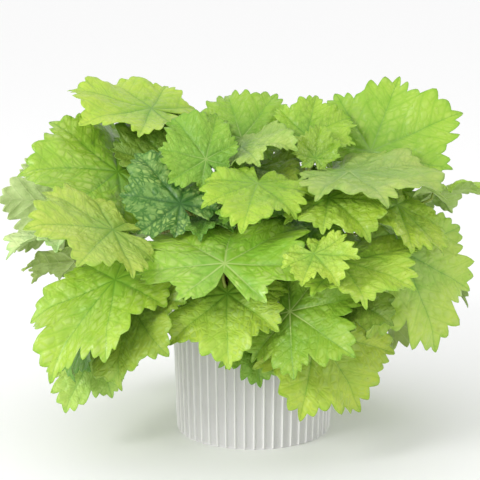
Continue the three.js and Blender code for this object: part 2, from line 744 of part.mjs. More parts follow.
// The hole that a stalk stands in, along the stalk's first stretch.
function makeHole(leaf) {
  const [start, next] = leaf.stalk.getSpacedPoints(STALK.steps);
  const direction = next.clone().sub(start).normalize();
  const radius = (STALK.footRadius + GAP) / Math.cos(Math.PI / HOLE.sides);
  const length = HOLE.below + next.distanceTo(start) + HOLE.above;
  const hole = new THREE.CylinderGeometry(radius, radius, length, HOLE.sides);
  hole.rotateX(Math.PI / 2);
  const middle = start.clone().addScaledVector(direction, length / 2 - HOLE.below);
  const turn = new THREE.Quaternion().setFromUnitVectors(new THREE.Vector3(0, 0, 1), direction);
  hole.applyMatrix4(new THREE.Matrix4().compose(middle, turn, new THREE.Vector3(1, 1, 1)));
  return toManifold(hole);
}

// ---- the plant -------------------------------------------------------------------------------

function farRows() {
  const random = seeded(41);
  const within = (range) => (random() - 0.5) * range;
  const rows = [];
  for (const tier of FAR_TIERS) {
    for (let i = 0; i < tier.count; i++) {
      const share = i / (tier.count - 1);
      const bearing = tier.from + (tier.to - tier.from) * share + within(FAR_VARIETY.bearing);
      const swing = bearing + within(FAR_VARIETY.swing);
      const out = within(FAR_VARIETY.out);
      const stagger = i % 2 === 0 ? -FAR_VARIETY.stagger : FAR_VARIETY.stagger;
      const up = within(FAR_VARIETY.up) + stagger;
      rows.push({
        hub: atBearing(bearing, tier.hub[0] + out, tier.hub[1] + up),
        tip: atBearing(swing, tier.tip[0] + out, tier.tip[1] + up),
        length: tier.length * (1 + within(FAR_VARIETY.length)),
        droop: tier.droop,
        roll: within(FAR_VARIETY.roll),
        arch: FAR_ARCH.least + FAR_ARCH.range * random(),
        ring: tier.ring,
      });
    }
  }
  return rows;
}

function atBearing(bearing, distance, height) {
  return [distance * Math.cos(bearing * DEG), distance * Math.sin(bearing * DEG), height];
}

function makeLeaves() {
  const leaves = [...FRONT, ...farRows()].map((row, i) => {
    const name = `leaf_${String(i + 1).padStart(2, '0')}`;
    const leaf = makeLeaf(name, row, i);
    leaf.net = bladeNet(leaf);
    return leaf;
  });
  settle(leaves);
  placeFeet(leaves);
  for (const leaf of leaves) leaf.middle = bladePoint(leaf, 0, leaf.length * 0.3, 0);
  routeStalks(leaves);
  return leaves;
}

const MATERIALS = {
  pot: new THREE.MeshStandardMaterial({ color: 0xe9e8e6, roughness: 0.6, metalness: 0 }),
  soil: new THREE.MeshStandardMaterial({ color: 0x3b2a1c, roughness: 0.95, metalness: 0 }),
  leaf: new THREE.MeshStandardMaterial({ color: 0xa4cc3e, roughness: 0.5, metalness: 0 }),
};

function addMesh(group, name, geometry, material) {
  const mesh = new THREE.Mesh(geometry, material.clone());
  mesh.name = name;
  group.add(mesh);
}

const plant = new THREE.Group();
const leaves = makeLeaves();
addMesh(plant, 'pot', makePot(), MATERIALS.pot);

let soil = toManifold(insideOfPot(GAP, POT.floor, SOIL.level, SOIL.mound));
for (const leaf of leaves) soil = soil.subtract(makeHole(leaf));
addMesh(plant, 'soil', toGeometry(soil), MATERIALS.soil);

for (const leaf of leaves) {
  addMesh(plant, leaf.name, toGeometry(makeBlade(leaf).add(makeStalk(leaf))), MATERIALS.leaf);
}

export default plant;
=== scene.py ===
import math

import bpy
import numpy as np
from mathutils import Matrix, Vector, noise


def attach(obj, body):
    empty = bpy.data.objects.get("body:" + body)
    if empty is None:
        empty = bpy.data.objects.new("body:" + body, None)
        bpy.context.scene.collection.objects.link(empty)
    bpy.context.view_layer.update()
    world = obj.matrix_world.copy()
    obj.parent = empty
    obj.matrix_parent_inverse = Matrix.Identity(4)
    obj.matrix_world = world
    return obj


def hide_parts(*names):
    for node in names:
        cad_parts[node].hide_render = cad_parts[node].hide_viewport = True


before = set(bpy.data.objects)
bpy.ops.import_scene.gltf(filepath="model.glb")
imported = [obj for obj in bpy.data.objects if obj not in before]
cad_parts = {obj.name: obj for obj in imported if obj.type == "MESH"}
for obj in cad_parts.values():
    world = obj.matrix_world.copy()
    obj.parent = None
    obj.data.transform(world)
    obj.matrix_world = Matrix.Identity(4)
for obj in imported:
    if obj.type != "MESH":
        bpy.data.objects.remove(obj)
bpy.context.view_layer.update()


# ---- The pot ---------------------------------------------------------------------------------------
# A round, matt white ceramic pot, slip-cast in one piece. Its wall is fluted from the foot to the rim:
# broad shallow flutes with narrow upright ribs between them. It stands on its own flat foot.

POT_HEIGHT = 0.128
FOOT_RADIUS = 0.0625
RIM_RADIUS = 0.0665
POT_WALL = 0.0045
POT_FLOOR = 0.006
RIBS = 52
FLUTE_DEPTH = 0.0019

# Across half a rib and half a flute: share of the pitch from the rib's middle, and depth of the flute.
FLUTE_PROFILE = [(0.0, 0.0), (0.035, 0.03), (0.06, 0.15), (0.085, 0.45), (0.115, 0.75), (0.16, 0.9),
                 (0.25, 0.97), (0.38, 1.0)]

# Up the outside, over the rim and down the inside: height, distance in from the wall's line, flute.
POT_PROFILE = [(0.0, 0.0019, 0.2), (0.0004, 0.0008, 0.6), (0.0013, 0.0002, 0.9), (0.0026, 0.0, 1.0),
               (0.03, 0.0, 1.0), (0.064, 0.0, 1.0), (0.098, 0.0, 1.0), (0.1235, 0.0, 1.0),
               (0.1262, 0.00015, 0.85), (0.1275, 0.0007, 0.4), (0.128, 0.0018, 0.1),
               (0.1278, 0.0032, 0.0), (0.127, 0.0042, 0.0), (0.125, 0.0045, 0.0), (0.09, 0.0045, 0.0),
               (0.0085, 0.0046, 0.0), (0.006, 0.0075, 0.0)]


def wall_radius(z):
    """Radius of the pot's outside over its ribs at a height."""
    return FOOT_RADIUS + (RIM_RADIUS - FOOT_RADIUS) * z / POT_HEIGHT


def new_piece(name, points, faces, material, smooth=True):
    """A mesh object from numpy points and a list of faces."""
    mesh = bpy.data.meshes.new(name)
    mesh.from_pydata([tuple(p) for p in points], [], faces)
    mesh.materials.append(material)
    mesh.polygons.foreach_set("use_smooth", [smooth] * len(mesh.polygons))
    mesh.update()
    piece = bpy.data.objects.new(name, mesh)
    bpy.context.scene.collection.objects.link(piece)
    return piece


def new_material(name):
    material = bpy.data.materials.new(name)
    material.use_nodes = True
    shader = material.node_tree.nodes["Principled BSDF"]
    return material, material.node_tree, shader


def place_node(tree, kind, **values):
    """Adds a node, and sets its fields, or its inputs where the name is an input's."""
    node = tree.nodes.new(kind)
    for name, value in values.items():
        if name.startswith("in_"):
            node.inputs[name[3:].replace("_", " ")].default_value = value
        else:
            setattr(node, name, value)
    return node


def feed(tree, term, socket):
    """Gives a socket a number, a colour or another node's output."""
    if isinstance(term, (int, float)):
        socket.default_value = term
    elif isinstance(term, tuple):
        socket.default_value = (*term, 1)
    else:
        tree.links.new(term, socket)


def work(tree, operation, *terms):
    """Adds a maths node that takes numbers and outputs, and gives its output."""
    node = place_node(tree, "ShaderNodeMath", operation=operation)
    for socket, term in zip(node.inputs, terms):
        feed(tree, term, socket)
    return node.outputs[0]


def times(tree, one, other):
    return work(tree, "MULTIPLY", one, other)


def fade(tree, value, start, end, low=1.0, high=0.0, curve="SMOOTHSTEP"):
    """A smooth or straight step from one value to another while a measure goes from start to end."""
    node = place_node(tree, "ShaderNodeMapRange", interpolation_type=curve, in_From_Min=start,
                      in_From_Max=end, in_To_Min=low, in_To_Max=high)
    tree.links.new(value, node.inputs["Value"])
    return node.outputs["Result"]


def tinted(tree, share, below, above, blend="MIX"):
    """One colour laid over another by a share; each is a colour or an output."""
    node = place_node(tree, "ShaderNodeMix", data_type="RGBA", blend_type=blend)
    for name, term in (("Factor", share), ("A", below), ("B", above)):
        feed(tree, term, node.inputs[name])
    return node.outputs["Result"]


def turning(tree, value, start, first, end, last):
    """One colour that turns into another while a measure goes from start to end."""
    node = place_node(tree, "ShaderNodeValToRGB")
    for stop, place, colour in zip(node.color_ramp.elements, (start, end), (first, last)):
        stop.position = place
        stop.color = (*colour, 1)
    tree.links.new(value, node.inputs["Fac"])
    return node.outputs["Color"]


def noise_node(tree, scale, detail, roughness=0.5):
    where = place_node(tree, "ShaderNodeTexCoord")
    node = place_node(tree, "ShaderNodeTexNoise", in_Scale=scale, in_Detail=detail,
                      in_Roughness=roughness)
    tree.links.new(where.outputs["Object"], node.inputs["Vector"])
    return node.outputs["Fac"]


def carried(tree, name):
    """The outputs of a value that the mesh carries under a name."""
    return place_node(tree, "ShaderNodeAttribute", attribute_name=name).outputs


def finish_skin(tree, shader, colour, roughness, height, strength, depth):
    """Joins a skin's colour, roughness and relief to its shader."""
    tree.links.new(colour, shader.inputs["Base Color"])
    tree.links.new(roughness, shader.inputs["Roughness"])
    bump = place_node(tree, "ShaderNodeBump", in_Strength=strength, in_Distance=depth)
    tree.links.new(height, bump.inputs["Height"])
    tree.links.new(bump.outputs["Normal"], shader.inputs["Normal"])


def pot_material():
    material, tree, shader = new_material("matt white ceramic")
    cloud, grain, specks = noise_node(tree, 38, 4), noise_node(tree, 1400, 3), noise_node(tree, 520, 2)
    colour = turning(tree, cloud, 0.3, (0.84, 0.835, 0.825), 0.7, (0.9, 0.895, 0.885))
    # Painted shade: the flutes are drawn greyer than the ribs, as shade lying in their hollows.
    flute = carried(tree, "flute")["Fac"]
    colour = tinted(tree, times(tree, flute, 0.8), colour, (0.53, 0.525, 0.52))
    colour = tinted(tree, fade(tree, specks, 0.66, 0.74, 0.0, 0.18, "LINEAR"), colour,
                    (0.42, 0.39, 0.35))
    rough = fade(tree, cloud, 0.0, 1.0, 0.5, 0.68, "LINEAR")
    finish_skin(tree, shader, colour, rough, grain, 0.35, 0.0002)
    return material


def make_pot():
    shares = FLUTE_PROFILE + [(0.5, 1.0)] + [(1 - u, d) for u, d in reversed(FLUTE_PROFILE[1:])]
    turns = [(rib + u, d) for rib in range(RIBS) for u, d in shares]
    points, flutes = [], []
    for z, inset, fluted in POT_PROFILE:
        for turn, depth in turns:
            angle = -math.pi / 2 + 2 * math.pi * turn / RIBS
            wobble = 0.00008 * noise.noise(Vector((turn * 0.9, z * 60, 3.1)))
            radius = wall_radius(z) - inset - FLUTE_DEPTH * depth * fluted + wobble * (inset < 0.001)
            points.append((radius * math.cos(angle), radius * math.sin(angle), z))
            flutes.append(depth * fluted)
    around, rings = len(turns), len(POT_PROFILE)
    points += [(0, 0, 0), (0, 0, POT_FLOOR)]
    flutes += [0.0, 0.0]
    under, inside = len(points) - 2, len(points) - 1
    faces = []
    for i in range(around):
        j = (i + 1) % around
        faces.append((under, j, i))
        for k in range(rings - 1):
            a, b = k * around + i, k * around + j
            faces.append((a, b, b + around, a + around))
        last = (rings - 1) * around
        faces.append((inside, last + i, last + j))
    piece = new_piece("fluted_pot", points, faces, pot_material())
    piece.data.attributes.new("flute", "FLOAT", "POINT").data.foreach_set("value", flutes)
    return piece


pot = make_pot()
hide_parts("pot")
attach(pot, "root")


# ---- The soil --------------------------------------------------------------------------------------
# Dark potting mix of peat and fine bark, heaped a little in the middle. It is loose crumbs on a packed
# bed, and the leaf stalks stand in it.

SOIL_LEVEL = 0.116
SOIL_MOUND = 0.003
SOIL_EDGE = 0.012                  # how far in from the wall the mound begins
SOIL_LUMPS = 0.0011
SOIL_GAP = 0.0004                  # between the bed and the pot
CRUMBS = 1100
CRUMB_SIZES = (0.0005, 0.0016)
BARK_SHARE = 0.25                  # of the crumbs are slivers of bark


def soil_material():
    material, tree, shader = new_material("potting mix")
    lumps = noise_node(tree, 240, 6, 0.7)
    where = place_node(tree, "ShaderNodeTexCoord")
    bits = place_node(tree, "ShaderNodeTexVoronoi", in_Scale=420.0)
    tree.links.new(where.outputs["Object"], bits.inputs["Vector"])
    colour = turning(tree, lumps, 0.3, (0.012, 0.008, 0.005), 0.75, (0.085, 0.05, 0.028))
    rough = fade(tree, bits.outputs["Distance"], 0.0, 1.0, 0.8, 1.0, "LINEAR")
    finish_skin(tree, shader, colour, rough, lumps, 0.8, 0.001)
    return material


def soil_height(x, y):
    """Height of the bed's surface, with its small lumps."""
    out = math.hypot(x, y)
    inner = wall_radius(SOIL_LEVEL) - POT_WALL
    slope = min(max((inner - out) / SOIL_EDGE, 0), 1)
    lump = noise.noise(Vector((x * 160, y * 160, 0.5)))
    lump += 0.5 * noise.noise(Vector((x * 420, y * 420, 2)))
    return SOIL_LEVEL - 0.0012 + SOIL_MOUND * slope + SOIL_LUMPS * lump


def make_soil():
    around, rings = 120, 34
    top = wall_radius(SOIL_LEVEL) - POT_WALL - SOIL_GAP
    low = wall_radius(POT_FLOOR) - POT_WALL - 0.0024
    points = [(0, 0, soil_height(0, 0))]
    for k in range(1, rings + 1):
        for i in range(around):
            angle = 2 * math.pi * i / around
            x, y = top * k / rings * math.cos(angle), top * k / rings * math.sin(angle)
            points.append((x, y, soil_height(x, y)))
    for radius, z in ((low + 0.0018, POT_FLOOR + 0.0022), (low, POT_FLOOR + SOIL_GAP)):
        for i in range(around):
            angle = 2 * math.pi * i / around
            points.append((radius * math.cos(angle), radius * math.sin(angle), z))
    points.append((0, 0, POT_FLOOR + SOIL_GAP))
    faces = []
    for i in range(around):
        j = (i + 1) % around
        faces.append((0, 1 + i, 1 + j))
        for k in range(rings + 1):
            a, b = 1 + k * around + i, 1 + k * around + j
            faces.append((b, a, a + around, b + around))
        last = 1 + (rings + 1) * around
        faces.append((len(points) - 1, last + j, last + i))
    return new_piece("soil_bed", points, faces, soil_mix)


def make_crumbs():
    """Crumbs of peat and slivers of bark, each a rough eight-sided lump sunk a little in the bed."""
    random = np.random.default_rng(5)
    corners = np.array([(1, 0, 0), (-1, 0, 0), (0, 1, 0), (0, -1, 0), (0, 0, 1), (0, 0, -1)], float)
    sides = [(0, 2, 4), (2, 1, 4), (1, 3, 4), (3, 0, 4), (2, 0, 5), (1, 2, 5), (3, 1, 5), (0, 3, 5)]
    reach = wall_radius(SOIL_LEVEL) - POT_WALL - 0.003
    points, faces = [], []
    for _ in range(CRUMBS):
        size = random.uniform(*CRUMB_SIZES)
        shape = size * random.uniform(0.6, 1.0, 3)
        if random.random() < BARK_SHARE:
            shape[0] *= 2.4
            shape[2] *= 0.5
        turn = random.uniform(0, 2 * math.pi)
        spin = np.array([(math.cos(turn), -math.sin(turn), 0), (math.sin(turn), math.cos(turn), 0),
                         (0, 0, 1)])
        out, angle = reach * math.sqrt(random.random()), random.uniform(0, 2 * math.pi)
        x, y = out * math.cos(angle), out * math.sin(angle)
        lump = (corners * shape * random.uniform(0.75, 1.2, (6, 1))) @ spin.T
        start = len(points)
        points += [tuple(p + (x, y, soil_height(x, y) + size * 0.25)) for p in lump]
        faces += [tuple(start + i for i in side) for side in sides]
    return new_piece("soil_crumbs", points, faces, soil_mix, smooth=False)


soil_mix = soil_material()
for piece in (make_soil(), make_crumbs()):
    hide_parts("soil")
    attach(piece, "root")


# ---- The leaves ------------------------------------------------------------------------------------
# Each leaf is a broad blade with seven toothed lobes on a long thin stalk that stands in the soil. The
# seven main veins spread from the stalk's end. The skin swells between them and the side veins.

BLADE_THICKNESS = 0.0006
CAD_THICKNESS = 0.0008
FOOT_Z = 0.108                     # where the stalks start, under the soil
CROWN_Z = 0.11                     # about where they come together

# The solid blade's flat outline, the same for every leaf. A lobe has an angle in degrees and a reach,
# and so has the notch after it, from the tip round to the stalk. A flank has corners on its way to the
# notch: share of the way round, and reach as a share of the lobe's.
SINUS_REACH = 0.1                  # from the hub to the sinus, as a share of the leaf's length
LOBES = [(0, 1.0, 25, 0.67), (46, 0.9, 70, 0.59), (93, 0.74, 116, 0.48),
         (138, 0.54, 180, SINUS_REACH)]
FLANK = [(0.3, 0.86), (0.55, 0.9)]
SINUS_SPREAD = 0.72                # of a flank's way round, on the side of the sinus
INNER_RING = 0.52                  # of the way from the hub to each lobe's tip

# The fine outline's flank: share of the way to the notch, reach as a share of the lobe's, and whether
# the place is the tip of a tooth or the cut beside it.
FINE_FLANK = [(0.17, 0.885, "cut"), (0.36, 0.92, "tip"), (0.54, 0.82, "cut"), (0.76, 0.87, "tip")]
SAMPLES_TO_CUT = 3                 # points from a tooth's tip to the cut beside it

# The fine notches' reach over the solid ones', in plain leaves and, by number, in the fuller ones.
NOTCH_FILL = 0.98
FULLER = {3: 1.2, 6: 1.1, 9: 1.16, 10: 1.16, 11: 1.2, 12: 1.15, 13: 1.15, 15: 1.14, 16: 1.1, 18: 1.1,
          21: 1.12, 23: 1.3, 24: 1.1, 25: 1.12, 26: 1.14, 27: 1.3, 28: 1.14, 29: 1.12, 30: 1.12,
          31: 1.1, 34: 1.2, **{number: 1.18 for number in range(37, 58)}}

# Each lobe's length over the solid's, where a leaf closes a gap in the mound.
LONGER = {9: (1, 1, 1, 1, 1, 1.3, 1.4), 11: (1.18,) * 7, 15: (1.1, 1.2, 1.1, 1, 1, 1, 1),
          21: (1.3, 1.1, 1, 1, 1, 1, 1), 26: (1, 1, 1, 1, 1, 1.15, 1.2),
          28: (1.4, 1.1, 1, 1, 1, 1.15, 1.5), 29: (1.35, 1.15, 1, 1, 1, 1.15, 1.35),
          **{number: (1.1,) * 7 for number in (37, 41, 42, 44, 48, 50, 52, 53, 55)}}

# How far the lobes beside the sinus close it, as a share: usually, and in single leaves.
SINUS_CLOSURE = 0.8
OWN_CLOSURE = {10: 1.0, 13: 1.0, 14: 0.45}

# The blade's rings of points: share of the way out, and one point in so many of the outline's.
RINGS = [(0.05, 8), (0.1, 8), (0.15, 8), (0.2, 4), (0.25, 4), (0.3, 4), (0.34, 4),
         *((0.38 + 0.034 * k, 2) for k in range(13)), (0.825, 1), (0.865, 1), (0.905, 1), (0.94, 1),
         (0.965, 1), (0.985, 1), (1.0, 1)]

VEIN_TURN = math.radians(46.2)     # from one main vein to the next
SIDE_VEIN_PITCH = 0.155            # between side veins, as a share of the leaf's length
SIDE_VEIN_SLANT = 0.85

# The skin's relief, in metres.
SWELL = 0.0007                     # of the skin between two side veins
PUFF = 0.0013                      # of the cells there
GRAIN = 0.00015                    # of the skin everywhere
RUFFLE = 0.0045                    # of the waves towards the margin
PLEAT = 0.013                      # rise between main veins, over a leaf's length away from one
VEIN_DEPTH = 0.0009                # of the main veins in the face
VEIN_WIDTH = 0.0013
RIB_HEIGHT = 0.0007                # of the same veins on the underside
RIB_WIDTH = 0.0009
NOISE_STEP = 3.7                   # between the places in the noise from which two leaves draw


def flat(angle, reach):
    return (reach * math.sin(angle), reach * math.cos(angle))


def both_sides(half):
    """Flat places from the left side round by the tip to the right, from the right side's."""
    return [(-angle, reach) for angle, reach in reversed(half) if angle] + half


def solid_net():
    """Flat places of the solid blade's rim, from the sinus round by the tip, with the numbers of the
    lobes' tips among them, and of its lobes and notches."""
    lobes = both_sides([(math.radians(angle), reach) for angle, reach, _, _ in LOBES])
    notches = both_sides([(math.radians(angle), reach) for _, _, angle, reach in LOBES[:-1]])
    last = len(lobes) - 1
    nearest = FLANK[-1][0]              # beside the sinus a flank has only this corner
    rim, tips = [(-math.pi, SINUS_REACH)], []
    for i, (angle, reach) in enumerate(lobes):
        before = notches[i - 1][0] if i else -math.pi
        after = notches[i][0] if i < last else math.pi
        for share, part in reversed(FLANK):
            spread = 1 if i else SINUS_SPREAD
            if i or share == nearest:
                rim.append((angle + (before - angle) * share * spread, reach * part))
        tips.append(len(rim))
        rim.append((angle, reach))
        for share, part in FLANK:
            spread = 1 if i < last else SINUS_SPREAD
            if i < last or share == nearest:
                rim.append((angle + (after - angle) * share * spread, reach * part))
        if i < last:
            rim.append(notches[i])
    return rim, tips, lobes, notches


def read_solid(node):
    """The corners of a leaf's solid, each once, its edges, and its neighbours by edge."""
    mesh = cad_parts[node].data
    mesh.calc_loop_triangles()
    points = np.zeros(len(mesh.vertices) * 3)
    mesh.vertices.foreach_get("co", points)
    points = points.reshape(-1, 3)
    corners = np.zeros(len(mesh.loop_triangles) * 3, int)
    mesh.loop_triangles.foreach_get("vertices", corners)
    _, first, merged = np.unique(np.round(points / 2e-6).astype(int), axis=0, return_index=True,
                                 return_inverse=True)
    triangles = merged.ravel()[corners].reshape(-1, 3)
    beside = [set() for _ in first]
    for a, b, c in triangles:
        beside[a] |= {b, c}
        beside[b] |= {a, c}
        beside[c] |= {a, b}
    for i, others in enumerate(beside):
        others.discard(i)
    return points[first], beside


def read_leaf(node):
    """Finds the places of the flat net's corners on a leaf's solid, and the way of its stalk.

    A corner that the stalk has swallowed is left out.
    """
    points, beside = read_solid(node)
    pairs = sorted({(a, b) for a, others in enumerate(beside) for b in others if a < b
                    and abs(np.linalg.norm(points[a] - points[b]) - CAD_THICKNESS) < 4e-6})
    owner = {v: i for i, pair in enumerate(pairs) for v in pair}
    links = [sorted({owner[o] for v in pair for o in beside[v] if o in owner} - {i})
             for i, pair in enumerate(pairs)]
    rim, tips, lobes, _ = solid_net()
    loop = longest_way(links)
    middle = np.array([points[list(pairs[i])].mean(0) for i in loop])
    if len(loop) == len(rim):
        start = int(np.argmin(np.linalg.norm(middle - middle.mean(0), axis=1)))
        loop, middle = loop[start:] + loop[:start], np.roll(middle, -start, axis=0)
        order = list(range(len(rim)))
    elif len(loop) == len(rim) - 1:     # the sinus itself lies inside the stalk
        order = list(range(1, len(rim)))
    else:
        raise ValueError(f"{node} has a rim of {len(loop)} places out of {len(pairs)} pairs")
    area = np.cross(middle, np.roll(middle, -1, axis=0)).sum(0)
    centre = middle.mean(0)
    rise = max(centre[2] - CROWN_Z, -0.02) * 1.1 + 0.05
    away = np.array([centre[0], centre[1], rise])      # the way that the mound faces there
    if area @ away > 0:                 # the net runs clockwise, seen from the blade's face
        if order[0] == 0:
            loop, middle = loop[:1] + loop[:0:-1], np.vstack([middle[:1], middle[:0:-1]])
        else:
            loop, middle = loop[::-1], middle[::-1]
        area = -area
    face = -area / np.linalg.norm(area)
    flats = [flat(*rim[i]) for i in order]
    places = list(middle)
    inner = []
    for sign in (1, -1):
        side = {}
        for k, i in zip(order, loop):
            a, b = pairs[i]
            side[k] = a if (points[a] - points[b]) @ face * sign > 0 else b
        ring = []
        for tip in tips:
            near = [v for v in beside[side[tip]] if v not in owner]
            ring.append(near[0] if len(near) == 1 else None)
        known = [v for v in ring if v is not None]
        votes = {}
        for v in known:
            for other in beside[v] - set(owner) - set(known):
                votes[other] = votes.get(other, 0) + 1
        hub = max(votes, key=votes.get) if votes else None
        inner.append((ring, hub if hub is not None and votes[hub] >= 5 else None))
    shift = face * CAD_THICKNESS / 2
    for k, (angle, reach) in enumerate([*lobes, (0, 0)]):
        found = [(ring + [hub])[k] for ring, hub in inner]
        here = [points[v] - shift * sign for v, sign in zip(found, (1, -1)) if v is not None]
        if here:
            flats.append(flat(angle, reach * INNER_RING))
            places.append(np.mean(here, axis=0))
    return np.array(flats), np.array(places), stalk_way(points, beside)


def longest_way(links):
    """The longest chain of rim pairs, each linked to the next, that visits none twice."""
    best = []
    for start in range(len(links)):
        way = [start]
        while True:
            onward = [i for i in links[way[-1]] if i not in way]
            if not onward:
                break
            way.append(onward[0])
        back = [i for i in links[start] if i not in way]
        while back:
            way.insert(0, back[0])
            back = [i for i in links[way[0]] if i not in way]
        if len(way) > len(best):
            best = way
    return best


def stalk_way(points, beside):
    """The middles of the solid stalk's sections, from its foot up to where it meets something."""
    layer = {i for i, p in enumerate(points)
             if abs(p[2] - FOOT_Z) < 0.0025 and math.hypot(p[0], p[1]) < 0.046}
    seen, way = set(layer), []
    while len(layer) == 4:
        way.append(points[list(layer)].mean(0))
        layer = {o for v in layer for o in beside[v]} - seen
        seen |= layer
    return np.array(way)


def bent_sheet(flats, places):
    """A smooth map from flat places to space that takes each known flat place to where it lies."""
    def spread(a, b):
        square = ((a[:, None] - b[None]) ** 2).sum(2)
        return square * np.log(square + 1e-12)

    count = len(flats)
    system = np.zeros((count + 3, count + 3))
    system[:count, :count] = spread(flats, flats) + 1e-4 * np.eye(count)
    system[:count, count] = system[count, :count] = 1
    system[:count, count + 1:] = flats
    system[count + 1:, :count] = flats.T
    weights = np.linalg.solve(system, np.vstack([places, np.zeros((3, 3))]))

    def sheet(xy):
        return spread(xy, flats) @ weights[:count] + weights[count] + xy @ weights[count + 1:]

    return sheet


def fine_outline(random, number):
    """Angles and reaches round a blade, with its teeth, from the sinus round by the tip and back."""
    _, _, lobes, notches = solid_net()
    fill, longer = FULLER.get(number, NOTCH_FILL), LONGER.get(number, (1,) * len(lobes))
    closure = OWN_CLOSURE.get(number, SINUS_CLOSURE)
    lobes = [(angle, reach * more) for (angle, reach), more in zip(lobes, longer)]
    notches = [(angle, reach * fill * min(more))
               for (angle, reach), more in zip(notches, zip(longer, longer[1:]))]
    last = len(lobes) - 1
    corners = [(-math.pi, SINUS_REACH, "cut")]
    for i, (angle, reach) in enumerate(lobes):
        for way in (-1, 1):
            edge = i == 0 and way < 0 or i == last and way > 0
            if edge:
                notch = (way * math.pi, SINUS_REACH)
            else:
                notch = notches[i - 1] if way < 0 else notches[i]
            flank = []
            for share, part, kind in FINE_FLANK:
                share = share * (closure if edge else 1) + random.uniform(-0.045, 0.045)
                part = part * random.uniform(0.965, 1.03)
                flank.append((angle + (notch[0] - angle) * share, reach * part, kind))
            if not edge:
                flank.append((*notch, "cut"))
            if way < 0:
                corners += [c for c in reversed(flank) if c[:2] != corners[-1][:2]]
                corners.append((angle, reach, "tip"))
            else:
                corners += flank
    corners = [c for i, c in enumerate(corners) if i == 0 or c[0] > corners[i - 1][0] + 1e-6]
    angles, reaches = [], []
    for (a0, r0, kind), (a1, r1, _) in zip(corners, corners[1:] + [(math.pi, SINUS_REACH, "cut")]):
        for k in range(SAMPLES_TO_CUT):
            share = k / SAMPLES_TO_CUT
            # A tooth's side is convex: it leaves the tip slowly and drops into the cut.
            swell = share ** 1.55 if kind == "tip" else 1 - (1 - share) ** 1.55
            angles.append(a0 + (a1 - a0) * share)
            reaches.append(r0 + (r1 - r0) * swell)
    while len(angles) % 8:              # the rings halve three times on their way in
        del angles[-1], reaches[-1]
    return np.array(angles), np.array(reaches)


def veins(xy):
    """Along and beside the nearest main vein, for flat places."""
    reach = np.hypot(xy[:, 0], xy[:, 1])
    turn = np.arctan2(xy[:, 0], xy[:, 1]) / VEIN_TURN
    off = (turn - np.round(turn)) * VEIN_TURN
    return reach * np.cos(off), reach * np.abs(np.sin(off)), reach


def ripple(xy, pitch, seed):
    """Smooth noise at flat places, with so many ripples to a leaf's length."""
    return np.array([noise.noise(Vector((x * pitch, y * pitch, seed))) for x, y in xy])


def skin_height(xy, length, seed):
    """How far the skin stands off the sheet: sunk at the veins, swollen between them, in metres."""
    along, beside, reach = veins(xy)
    channel = np.exp(-(beside * length / VEIN_WIDTH) ** 2) * np.clip(1.15 - along, 0.2, 1)
    phase = (along - beside * SIDE_VEIN_SLANT + 0.02 * ripple(xy, 5, seed)) / SIDE_VEIN_PITCH
    swell = np.sqrt(np.abs(np.sin(np.pi * phase)))
    ease = np.clip(beside / 0.07, 0, 1) * np.clip(reach / 0.2, 0, 1)
    height = SWELL * (swell - 0.6) * ease + PUFF * ripple(xy, 12, seed + 9) * ease
    height += GRAIN * ripple(xy, 30, seed + 3)
    height += RUFFLE * ripple(xy, 5, seed + 5) * np.clip(reach - 0.3, 0, 1) ** 1.2
    # The blade is pleated: it lies low along the main veins and rises between them.
    height += PLEAT * (beside - 0.16 * reach) * np.clip(reach * 1.6, 0, 1)
    return height - VEIN_DEPTH * channel


def ring_faces(counts):
    """Triangles between rings of points; each ring has as many points as the last, or twice as many."""
    starts = np.concatenate([[1], 1 + np.cumsum(counts)])
    faces = [(0, 1 + i, 1 + (i + 1) % counts[0]) for i in range(counts[0])]
    for k in range(len(counts) - 1):
        n, m, a0, b0 = counts[k], counts[k + 1], starts[k], starts[k + 1]
        for i in range(n):
            a, a1 = a0 + i, a0 + (i + 1) % n
            if m == n:
                b, b1 = b0 + i, b0 + (i + 1) % n
                faces += [(a, b, b1), (a, b1, a1)]
            else:
                b, b1, b2 = b0 + 2 * i, b0 + 2 * i + 1, b0 + (2 * i + 2) % m
                faces += [(a, b, b1), (a, b1, a1), (a1, b1, b2)]
    return faces


